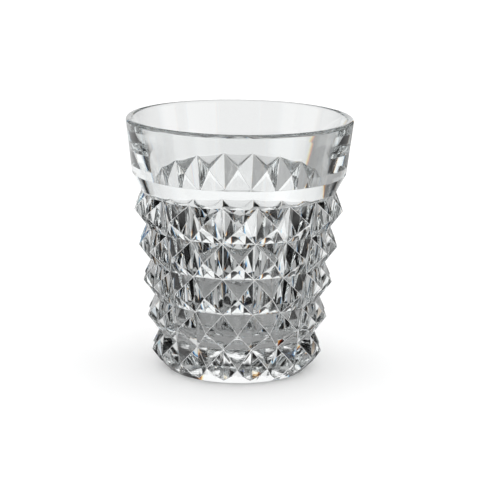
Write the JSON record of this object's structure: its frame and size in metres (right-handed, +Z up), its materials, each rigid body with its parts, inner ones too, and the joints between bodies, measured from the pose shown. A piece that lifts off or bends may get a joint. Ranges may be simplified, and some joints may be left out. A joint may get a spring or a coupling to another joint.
{
  "type": "whiskey tumbler",
  "caption": "Low drinking glass with a belt of pointed diamond facets, a sloping shoulder, a smooth flared collar and a thick base.",
  "frame": {"origin": "centre of the foot, on the surface that the tumbler stands on", "axes": "+Z up through the middle of the cavity; -Y towards a column of diamonds, which the front view looks at"},
  "size_m": [0.083, 0.083, 0.0933],
  "materials": {
    "crystal": "clear colourless crystal, fire polished, with crisp facets"
  },
  "bodies": {
    "root": {"tumbler_glass": "crystal"}
  },
  "joints": []
}
